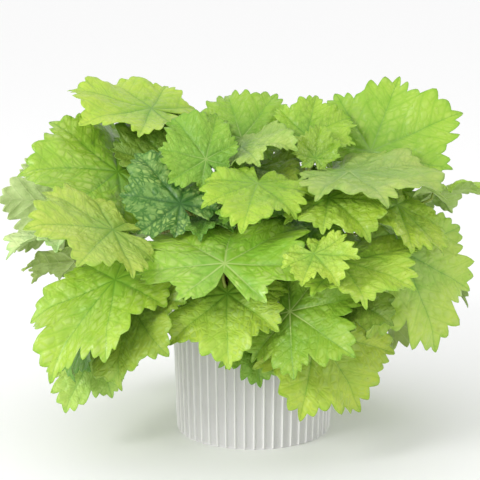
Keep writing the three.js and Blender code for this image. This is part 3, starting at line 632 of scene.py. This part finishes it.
def make_blade(sheet, length, number):
    """A thin closed blade: its points, faces, flat places, how many points its face has, and how far out
    each point lies. The inner rings follow a rounder outline than the toothed one."""
    angles, reaches = fine_outline(np.random.default_rng(number), number)
    body = np.interp(angles, [-math.pi, -2.4, 2.4, math.pi], [SINUS_REACH, 0.46, 0.46, SINUS_REACH])
    body = np.maximum(np.minimum(0.62 - 0.2 * np.abs(angles) / math.pi, body), SINUS_REACH)
    rows, counts, out = [(0.0, 0.0)], [], [0.0]
    for share, step in RINGS:
        blend = share ** 2
        reach = share * (reaches * blend + (body * 1.25) * (1 - blend))
        reach = np.minimum(reach, reaches * (0.25 + 0.75 * share))
        reach, turn = reach[::step], angles[::step]
        rows += list(zip(reach * np.sin(turn), reach * np.cos(turn)))
        counts.append(len(reach))
        out += [share] * counts[-1]
    xy = np.array(rows)
    nudge = 1e-3
    here = sheet(xy)
    normal = np.cross(sheet(xy + (nudge, 0)) - here, sheet(xy + (0, nudge)) - here)
    normal /= np.linalg.norm(normal, axis=1)[:, None]
    middle = here + normal * skin_height(xy, length, number * NOISE_STEP)[:, None]
    along, beside, _ = veins(xy)
    rib = RIB_HEIGHT * np.exp(-(beside * length / RIB_WIDTH) ** 2) * np.clip(1 - along, 0, 1)
    thick = BLADE_THICKNESS * (1 - 0.45 * np.clip((np.array(out) - 0.9) / 0.1, 0, 1))
    top = middle + normal * thick[:, None] / 2
    under = middle - normal * (thick / 2 + rib)[:, None]
    faces = ring_faces(counts)
    count, last = len(xy), counts[-1]
    first = count - last
    faces = [(a, c, b) for a, b, c in faces] + [(a + count, b + count, c + count) for a, b, c in faces]
    for i in range(last):
        a, b = first + i, first + (i + 1) % last
        faces += [(a, b, b + count), (a, b + count, a + count)]
    return np.vstack([top, under]), faces, np.vstack([xy, xy]), count, np.tile(out, 2)


STALK_SIDES = 8
STALK_RINGS = 30
STALK_FOOT = 0.0017                # its radius there, and at the blade
STALK_TOP = 0.00115
STALK_SET = 0.0002                 # how far its end is set into the blade


def make_stalk(way, hub, behind):
    """A tapered round stalk that follows its solid and ends under the blade's hub."""
    way = np.vstack([way, hub + behind * 0.006, hub])
    knots = np.concatenate([[0], np.cumsum(np.linalg.norm(np.diff(way, axis=0), axis=1))])
    places = np.linspace(0, knots[-1], STALK_RINGS)
    line = np.array([[catmull(way[:, axis], knots, t) for axis in range(3)] for t in places])
    forward = np.gradient(line, axis=0)
    forward /= np.linalg.norm(forward, axis=1)[:, None]
    side = np.cross(forward[0], (0.3, 0.9, 0.2))
    points, shares = [], []
    for k, (p, f) in enumerate(zip(line, forward)):
        side = side - f * (side @ f)
        side /= np.linalg.norm(side)
        other = np.cross(f, side)
        share = k / (len(line) - 1)
        radius = STALK_FOOT + (STALK_TOP - STALK_FOOT) * min(share * 1.2, 1)
        radius *= 1 + 0.5 * max(0, 1 - share / 0.1) ** 2
        if k == len(line) - 1:
            radius *= 0.5
        for i in range(STALK_SIDES):
            angle = 2 * math.pi * i / STALK_SIDES
            grooved = 1 - 0.12 * max(0, math.cos(angle)) ** 4
            points.append(p + radius * grooved * (side * math.cos(angle) + other * math.sin(angle)))
            shares.append(share)
    faces = []
    for k in range(len(line) - 1):
        for i in range(STALK_SIDES):
            a, b = k * STALK_SIDES + i, k * STALK_SIDES + (i + 1) % STALK_SIDES
            faces.append((a, b, b + STALK_SIDES, a + STALK_SIDES))
    end = (len(line) - 1) * STALK_SIDES
    faces += [tuple(range(STALK_SIDES - 1, -1, -1)), tuple(end + i for i in range(STALK_SIDES))]
    return np.array(points), faces, shares


def catmull(values, knots, t):
    """A smooth curve through values at knots, at t."""
    i = min(max(int(np.searchsorted(knots, t)) - 1, 0), len(knots) - 2)
    u = (t - knots[i]) / (knots[i + 1] - knots[i])
    before = values[max(i - 1, 0)]
    after = values[min(i + 2, len(values) - 1)]
    a, b = values[i], values[i + 1]
    return 0.5 * (2 * a + (b - before) * u + (2 * before - 5 * a + 4 * b - after) * u * u
                  + (3 * a - before - 3 * b + after) * u ** 3)


def vein_pattern():
    """A group that draws a leaf's veins on its flat places: masks of the main, side and finest veins,
    the puffed cells between them, a broad band round the main veins where shade is painted, and how far
    along its main vein and from the hub a place lies."""
    group = bpy.data.node_groups.new("leaf veins", "ShaderNodeTree")
    group.interface.new_socket("Flat", in_out="INPUT", socket_type="NodeSocketVector")
    for name in ("Main", "Side", "Net", "Cell", "Along", "Reach", "VeinShade"):
        group.interface.new_socket(name, in_out="OUTPUT", socket_type="NodeSocketFloat")
    given, result = place_node(group, "NodeGroupInput"), place_node(group, "NodeGroupOutput")
    parts = place_node(group, "ShaderNodeSeparateXYZ")
    group.links.new(given.outputs["Flat"], parts.inputs[0])
    x, y, wobble = parts.outputs
    reach = work(group, "SQRT", work(group, "ADD", times(group, x, x), times(group, y, y)))
    turn = work(group, "DIVIDE", work(group, "ARCTAN2", x, y), VEIN_TURN)
    off = times(group, work(group, "SUBTRACT", turn, work(group, "ROUND", turn)), VEIN_TURN)
    along = times(group, reach, work(group, "COSINE", off))
    beside = times(group, reach, work(group, "ABSOLUTE", work(group, "SINE", off)))
    # A main vein thins out on its way to the lobe's tip.
    girth = times(group, beside, fade(group, along, 0.0, 1.0, 1.0, 3.2))
    main = fade(group, girth, 0.002, 0.014)
    # Painted shade: a broad band round each main vein, where the face sinks to it.
    vein_shade = fade(group, girth, 0.004, 0.075)
    phase = work(group, "DIVIDE",
                 work(group, "ADD",
                      work(group, "SUBTRACT", along, times(group, beside, SIDE_VEIN_SLANT)),
                      times(group, wobble, 0.02)), SIDE_VEIN_PITCH)
    apart = work(group, "ABSOLUTE", work(group, "SUBTRACT", phase, work(group, "ROUND", phase)))
    near_hub = fade(group, reach, 0.1, 0.24, 0.0, 1.0)
    side = times(group, fade(group, apart, 0.015, 0.105), near_hub)
    # The finest veins part long cells that lie in rows between the side veins.
    net = place_node(group, "ShaderNodeTexVoronoi", feature="DISTANCE_TO_EDGE", in_Scale=1.0)
    row = place_node(group, "ShaderNodeCombineXYZ")
    across = work(group, "ADD", beside, times(group, along, SIDE_VEIN_SLANT))
    group.links.new(times(group, phase, 1.9), row.inputs[0])
    group.links.new(times(group, across, 1.35 / SIDE_VEIN_PITCH), row.inputs[1])
    sector = work(group, "ADD", times(group, work(group, "ROUND", turn), 5.3),
                  times(group, work(group, "SIGN", off), 1.7))
    group.links.new(sector, row.inputs[2])
    group.links.new(row.outputs[0], net.inputs["Vector"])
    mesh_lines = times(group, fade(group, net.outputs["Distance"], 0.02, 0.13), near_hub)
    cell = times(group, fade(group, net.outputs["Distance"], 0.02, 0.27, 0.0, 1.0),
                times(group, fade(group, apart, 0.04, 0.2, 0.0, 1.0), near_hub))
    for name, value in (("Main", main), ("Side", side), ("Net", mesh_lines), ("Cell", cell),
                        ("Along", along), ("Reach", reach), ("VeinShade", vein_shade)):
        group.links.new(value, result.inputs[name])
    return group


leaf_veins = vein_pattern()


def vein_node(tree):
    node = place_node(tree, "ShaderNodeGroup", node_tree=leaf_veins)
    tree.links.new(carried(tree, "flat")["Vector"], node.inputs["Flat"])
    return node.outputs


def filtered(tree, share, colour, through):
    """A colour seen through another, by a share."""
    return tinted(tree, share, colour, through, "MULTIPLY")


def face_material():
    """The upper skin: glossy, mottled, pale at the main veins near the hub and dark along the others,
    with painted shade round the hub and beside the main veins, and painted highlights on its puffed
    cells.
    """
    material, tree, shader = new_material("leaf face")
    veins_at = vein_node(tree)
    tone, rim = carried(tree, "tone"), carried(tree, "rim")["Fac"]
    mark = place_node(tree, "ShaderNodeSeparateXYZ")
    tree.links.new(carried(tree, "marks")["Vector"], mark.inputs[0])
    pale_veins, blotches, gloss_and_sheen = mark.outputs
    broad, middling, fine = noise_node(tree, 42, 3), noise_node(tree, 170, 4), noise_node(tree, 900, 4)
    # Deeper and greener round the hub, partly the leaf's own tone and partly painted shade where the hub
    # lies under other leaves; yellower towards the margin; mottled; darker at the veins; and painted
    # shade in a broad band beside the sunken main veins.
    colour = tone["Color"]
    for share, through in (
            (fade(tree, veins_at["Reach"], 0.0, 0.72, 0.9, 0.0), (0.66, 0.78, 0.76)),
            (fade(tree, veins_at["Reach"], 0.45, 1.0, 0.0, 0.8), (1.09, 1.04, 1.0)),
            (fade(tree, broad, 0.42, 0.68, 0.0, 0.75), (1.1, 1.05, 1.0)),
            (fade(tree, broad, 0.3, 0.5, 0.75, 0.0), (0.84, 0.93, 0.9)),
            (fade(tree, middling, 0.35, 0.6, 0.5, 0.0), (0.86, 0.94, 0.86)),
            (times(tree, veins_at["VeinShade"], 0.5), (0.7, 0.82, 0.72)),
            (times(tree, veins_at["Net"], 0.12), (0.7, 0.86, 0.7)),
            (times(tree, veins_at["Side"], 0.34), (0.6, 0.78, 0.6))):
        colour = filtered(tree, share, colour, through)
    # Pale blotches between the veins, where a leaf has them.
    patch = times(tree, times(tree, veins_at["Cell"], blotches), fade(tree, broad, 0.34, 0.52, 0.15, 1.0))
    merged = times(tree, fade(tree, middling, 0.44, 0.58, 0.0, 0.6), work(tree, "POWER", blotches, 3.0))
    patch = times(tree, work(tree, "MAXIMUM", patch, merged),
                  work(tree, "SUBTRACT", 1.0, veins_at["VeinShade"]))
    colour = tinted(tree, patch, colour, (0.22, 0.4, 0.08))
    # Painted highlight: the puffed cells are drawn a little whiter, as where they catch the light.
    painted_sheen = times(tree, times(tree, veins_at["Cell"], gloss_and_sheen), fade(tree, broad, 0.36, 0.6, 0.08, 0.56))
    colour = tinted(tree, painted_sheen, colour, (0.56, 0.69, 0.19))
    inward = fade(tree, veins_at["Along"], 0.05, 0.75)
    colour = filtered(tree, times(tree, veins_at["Main"], 0.7), colour, (0.55, 0.72, 0.6))
    pale = times(tree, times(tree, veins_at["Main"], inward), pale_veins)
    colour = tinted(tree, pale, colour, (0.52, 0.65, 0.2))
    # The thin margin is greener, and the stalk's end may be stained red-brown.
    colour = filtered(tree, fade(tree, rim, 0.955, 0.995, 0.0, 0.5), colour, (0.66, 0.86, 0.6))
    ragged = work(tree, "ADD", veins_at["Along"], times(tree, middling, 0.16))
    stain = times(tree, work(tree, "SUBTRACT", 1.0, tone["Alpha"]), fade(tree, ragged, 0.1, 0.2))
    colour = tinted(tree, stain, colour, (0.1, 0.035, 0.012))
    specks = noise_node(tree, 620, 1)
    colour = tinted(tree, fade(tree, specks, 0.76, 0.8, 0.0, 0.6), colour, (0.16, 0.1, 0.02))
    rough = work(tree, "ADD", fade(tree, fine, 0.3, 0.7, 0.33, 0.47), times(tree, veins_at["Net"], 0.08))
    coat = times(tree, gloss_and_sheen, fade(tree, middling, 0.3, 0.62, 0.25, 1.0))
    tree.links.new(coat, shader.inputs["Coat Weight"])
    shader.inputs["Coat Roughness"].default_value = 0.26
    shader.inputs["Specular IOR Level"].default_value = 0.3
    lines = work(tree, "ADD", veins_at["Net"], times(tree, veins_at["Side"], 0.8))
    swollen = work(tree, "ADD", times(tree, fine, 0.15), times(tree, veins_at["Cell"], 1.3))
    height = work(tree, "SUBTRACT", swollen, times(tree, lines, 0.3))
    finish_skin(tree, shader, colour, rough, height, 0.42, 0.0005)
    return material


def underside_material():
    """The lower skin: paler, greyer and matt, with the veins standing out light."""
    material, tree, shader = new_material("leaf underside")
    veins_at = vein_node(tree)
    broad, fine = noise_node(tree, 60, 3), noise_node(tree, 900, 3)
    colour = tinted(tree, fade(tree, broad, 0.3, 0.7, 0.45, 0.7), carried(tree, "tone")["Color"],
                    (0.42, 0.56, 0.2))
    colour = filtered(tree, times(tree, veins_at["Net"], 0.3), colour, (0.72, 0.85, 0.7))
    lines = work(tree, "MAXIMUM", times(tree, veins_at["Side"], 0.45), veins_at["Main"])
    colour = tinted(tree, times(tree, lines, 0.7), colour, (0.56, 0.66, 0.32))
    rough = fade(tree, fine, 0.3, 0.7, 0.58, 0.74)
    height = work(tree, "ADD", lines, times(tree, fine, 0.3))
    finish_skin(tree, shader, colour, rough, height, 0.6, 0.0005)
    return material


def stalk_material():
    """Stalks are green under the blade, and tan to red-brown towards the soil, with fine streaks."""
    material, tree, shader = new_material("leaf stalk")
    patchy, fine = noise_node(tree, 75, 3), noise_node(tree, 700, 3)
    low = tinted(tree, fade(tree, patchy, 0.35, 0.65, 0.0, 1.0), (0.19, 0.085, 0.03),
                 (0.28, 0.2, 0.055))
    high = tinted(tree, 0.45, (0.3, 0.3, 0.075), carried(tree, "tone")["Color"])
    colour = tinted(tree, fade(tree, carried(tree, "rim")["Fac"], 0.1, 0.9, 0.0, 1.0), low, high)
    colour = filtered(tree, fade(tree, fine, 0.35, 0.6, 0.5, 0.0), colour, (0.74, 0.78, 0.7))
    finish_skin(tree, shader, colour, fade(tree, fine, 0.3, 0.7, 0.42, 0.6), fine, 0.4, 0.0003)
    return material


def set_values(mesh, name, kind, values):
    """Writes one value, three or four for every corner of a mesh."""
    slot = mesh.attributes.new(name, kind, "POINT")
    slot.data.foreach_set({"FLOAT": "value", "FLOAT_VECTOR": "vector", "FLOAT_COLOR": "color"}[kind],
                          np.asarray(values, float).ravel())


HAIRS = 170                        # on one stalk and along one blade's margin
HAIR_LENGTH = 0.0011
HAIR_THICKNESS = 0.00007
HAIR_ROOT = 0.00012                # how deep a hair starts under the skin
HAIR_FACES = [(0, 1, 3), (1, 2, 3), (2, 0, 3), (0, 2, 1)]
LEAF_SEED = 1000                   # with a leaf's number added, the seed of its hairs and colour


def make_hairs(random, feet, outward, heights):
    """Fine hairs, each a slim closed spike that starts just inside the skin it stands on."""
    points, faces, shares = [], [], []
    for foot, way, share in zip(feet, outward, heights):
        way = way + random.normal(0, 0.35, 3)
        way /= np.linalg.norm(way)
        side = np.cross(way, random.normal(0, 1, 3))
        side /= np.linalg.norm(side)
        other = np.cross(way, side)
        start = len(points)
        for k in range(3):
            angle = 2 * math.pi * k / 3
            points.append(foot - way * HAIR_ROOT
                          + HAIR_THICKNESS / 2 * (side * math.cos(angle) + other * math.sin(angle)))
        points.append(foot + way * HAIR_LENGTH * random.uniform(0.6, 1.2))
        faces += [tuple(start + i for i in face) for face in HAIR_FACES]
        shares += [share] * 4
    return np.array(points), faces, shares


# Skin tones, and how one leaf wears them: tone, paleness of the veins at the hub, blotches, and gloss,
# which also sets the painted highlight on the puffed cells.
# painted_pale is paler than a leaf's own face: painted light on leaves 7 and 8, which lie in the shade of
# the leaves above them.
TONES = {"lime": (0.32, 0.505, 0.04), "sunny": (0.385, 0.54, 0.055), "pale": (0.4, 0.545, 0.1),
         "grass": (0.265, 0.455, 0.038), "fresh": (0.215, 0.415, 0.038), "green": (0.135, 0.305, 0.033),
         "olive": (0.18, 0.295, 0.033), "moss": (0.3, 0.43, 0.042), "dark": (0.07, 0.195, 0.028),
         "silver": (0.345, 0.5, 0.095), "yellow": (0.41, 0.55, 0.075), "painted_pale": (0.55, 0.66, 0.3)}
WORN = {1: ("pale", 0, 0.2, 0.2), 2: ("green", 0, 0, 0.2), 3: ("moss", 0, 0.4, 0.2),
        4: ("lime", 0, 0.3, 0.6), 5: ("pale", 0, 0, 0.1), 6: ("yellow", 0, 0, 0.35),
        7: ("painted_pale", 0, 0, 0), 8: ("painted_pale", 0, 0, 0), 9: ("lime", 0, 0, 0.6),
        10: ("sunny", 0, 0, 0.15), 11: ("olive", 0, 0, 0.2), 12: ("dark", 0, 1, 0.4),
        13: ("fresh", 0.4, 0, 0.15), 14: ("lime", 0.6, 0.3, 0.7), 15: ("fresh", 0, 0, 0.2),
        16: ("sunny", 0, 0.5, 0.3), 17: ("grass", 0.9, 0.1, 0.2), 18: ("sunny", 0, 0.3, 0.2),
        19: ("olive", 0, 0.1, 0.2), 20: ("yellow", 0, 0.2, 0.4), 21: ("sunny", 0, 0, 0.5),
        22: ("sunny", 0, 0, 0.3), 23: ("lime", 0, 0.1, 0.4), 24: ("lime", 0.2, 0, 0.15),
        25: ("grass", 0.4, 0.2, 0.3), 26: ("lime", 0.2, 0, 0.4), 27: ("silver", 0.5, 0, 0.3),
        28: ("lime", 0, 0, 0.3), 29: ("sunny", 0, 0, 0.3), 30: ("lime", 0, 0, 0.3),
        31: ("lime", 0, 0.3, 0.5), 32: ("silver", 0, 0.1, 0.4), 33: ("fresh", 0, 0, 0.2),
        34: ("moss", 0, 0, 0.2), 35: ("green", 0, 0, 0.2), 36: ("fresh", 0, 0, 0.2)}
STAINED = 3                        # the leaf with a red-brown spot at its stalk


def stalk_feet(random, stalk, shares):
    """Where the hairs round a stalk stand, the ways they point, and how far up the stalk they are."""
    rings = len(stalk) // STALK_SIDES
    spots = random.integers(STALK_SIDES * 4, (rings - 2) * STALK_SIDES, HAIRS)
    slide = random.random((HAIRS, 1))
    feet = stalk[spots] * (1 - slide) + stalk[spots + STALK_SIDES] * slide
    centres = stalk.reshape(rings, STALK_SIDES, 3).mean(1)
    ring = spots // STALK_SIDES
    away = feet - (centres[ring] * (1 - slide) + centres[ring + 1] * slide)
    return feet, away / np.linalg.norm(away, axis=1)[:, None], [shares[spot] for spot in spots]


def margin_feet(random, edge, hub):
    """The same for the hairs along a blade's margin, which point out from the hub."""
    picks = random.integers(0, len(edge) - 1, HAIRS)
    slide = random.random((HAIRS, 1))
    feet = edge[picks] * (1 - slide) + edge[picks + 1] * slide
    away = feet - hub
    return feet, away / np.linalg.norm(away, axis=1)[:, None], [1.0] * HAIRS


def leaf_look(random, number):
    """A leaf's colour and marks: its own, or drawn by lot for the leaves without a row in WORN."""
    if number in WORN:
        tone, *marks = WORN[number]
    else:
        tone = random.choice(["lime", "sunny", "grass", "moss", "silver"], p=[0.3, 0.2, 0.25, 0.15, 0.1])
        marks = random.uniform((0.0, 0, 0.2), (0.5, 0.3, 0.5))
    colour = np.array(TONES[tone]) * random.uniform(0.93, 1.07) * random.uniform(0.96, 1.04, 3)
    return (*colour, 0.2 if number == STAINED else 1.0), marks


def make_leaf(node, number):
    """A leaf's blade, stalk and hairs in one mesh, with the values that its materials read."""
    flats, places, way = read_leaf(node)
    sheet = bent_sheet(flats, places)
    hub_place = sheet(np.array([(0.0, 0.0)]))[0]
    length = float(np.linalg.norm(sheet(np.array([(0.0, 0.5)]))[0] - hub_place) * 2)
    blade, faces, xy, count, out = make_blade(sheet, length, number)
    hub_normal = blade[0] - blade[count]
    hub_normal /= np.linalg.norm(hub_normal)
    hub = blade[count] + hub_normal * STALK_SET
    # The stalk meets the hub partly along its own way and mostly from under the blade.
    slope = 0.5 * (way[-1] - hub) / np.linalg.norm(way[-1] - hub) - 0.8 * hub_normal
    stalk, stalk_faces, shares = make_stalk(way, hub, slope / np.linalg.norm(slope))
    random = np.random.default_rng(LEAF_SEED + number)
    margin = np.flatnonzero(out[:count] == 1.0)
    edge = (blade[margin] + blade[margin + count]) / 2
    feet, away, heights = zip(stalk_feet(random, stalk, shares), margin_feet(random, edge, hub_place))
    hairs, hair_faces, hair_shares = make_hairs(random, np.vstack(feet), np.vstack(away),
                                                heights[0] + heights[1])
    points = np.vstack([blade, stalk, hairs])
    rims = 2 * len(margin)
    upper = (len(faces) - rims) // 2
    skins = [0] * upper + [1] * upper + [0] * rims + [2] * (len(stalk_faces) + len(hair_faces))
    faces = faces + [tuple(len(blade) + i for i in face) for face in stalk_faces]
    faces += [tuple(len(blade) + len(stalk) + i for i in face) for face in hair_faces]
    piece = new_piece(f"{node}_grown", points, faces, leaf_face)
    piece.data.materials.append(leaf_underside)
    piece.data.materials.append(leaf_stalk)
    piece.data.polygons.foreach_set("material_index", skins)
    tone, marks = leaf_look(random, number)
    set_values(piece.data, "tone", "FLOAT_COLOR", np.tile(tone, (len(points), 1)))
    set_values(piece.data, "marks", "FLOAT_VECTOR", np.tile(marks, (len(points), 1)))
    wobble = np.tile(ripple(xy[:count], 5, number * NOISE_STEP), 2)
    others = np.full((len(points) - len(blade), 3), 0.3)
    set_values(piece.data, "flat", "FLOAT_VECTOR", np.vstack([np.column_stack([xy, wobble]), others]))
    set_values(piece.data, "rim", "FLOAT", np.concatenate([out, shares, hair_shares]))
    return piece


leaf_face, leaf_underside, leaf_stalk = face_material(), underside_material(), stalk_material()
for node in sorted(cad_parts):
    if node.startswith("leaf"):
        piece = make_leaf(node, int(node[5:]))
        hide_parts(node)
        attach(piece, "root")


# ---- The floor, the light and the view ---------------------------------------------------------------
# A plain white floor, a white room, and soft lamps: two in front on the left, high and low, and a weak
# one on the right.

FLOOR_REACH = 14

floor_mesh = bpy.data.meshes.new("floor")
floor_corners = [(x * FLOOR_REACH, y * FLOOR_REACH, 0) for x, y in ((-1, -1), (1, -1), (1, 1), (-1, 1))]
floor_mesh.from_pydata(floor_corners, [], [(0, 1, 2, 3)])
floor = bpy.data.objects.new("floor", floor_mesh)
bpy.context.scene.collection.objects.link(floor)
material, tree, shader = new_material("plain floor")
shader.inputs["Base Color"].default_value = (0.95, 0.95, 0.95, 1)
shader.inputs["Roughness"].default_value = 0.9
floor_mesh.materials.append(material)

world = bpy.data.worlds.new("white room")
world.use_nodes = True
world.node_tree.nodes["Background"].inputs["Color"].default_value = (1, 1, 1, 1)
world.node_tree.nodes["Background"].inputs["Strength"].default_value = 1.0
bpy.context.scene.world = world


def place_lamp(name, place, aim, size, power):
    lamp = bpy.data.lights.new(name, "AREA")
    lamp.shape, lamp.size, lamp.energy = "DISK", size, power
    item = bpy.data.objects.new(name, lamp)
    bpy.context.scene.collection.objects.link(item)
    item.location = place
    item.rotation_euler = (Vector(aim) - Vector(place)).to_track_quat("-Z", "Y").to_euler()


place_lamp("key lamp", (-1.25, -1.35, 1.15), (0, 0, 0.14), 0.6, 15)
place_lamp("low lamp", (-1.5, -0.8, 0.4), (0, 0, 0.06), 0.8, 5)
place_lamp("fill lamp", (1.4, -1.1, 0.8), (0, 0, 0.16), 1.0, 2)

CAMERA_AWAY = 1.3
SEEN_WIDTH = 0.384                 # at the middle of the plant
SENSOR = 36                        # in millimetres

camera_data = bpy.data.cameras.new("camera")
camera_data.sensor_width = SENSOR
camera_data.lens = SENSOR * CAMERA_AWAY / SEEN_WIDTH
camera = bpy.data.objects.new("camera", camera_data)
bpy.context.scene.collection.objects.link(camera)
down = math.radians(11.8)
view = Vector((0, math.cos(down), -math.sin(down)))
camera.location = Vector((-0.011, 0, 0.155)) - view * CAMERA_AWAY
camera.rotation_euler = view.to_track_quat("-Z", "Y").to_euler()
bpy.context.scene.camera = camera
bpy.context.scene.view_settings.view_transform = "Standard"

bpy.context.view_layer.update()
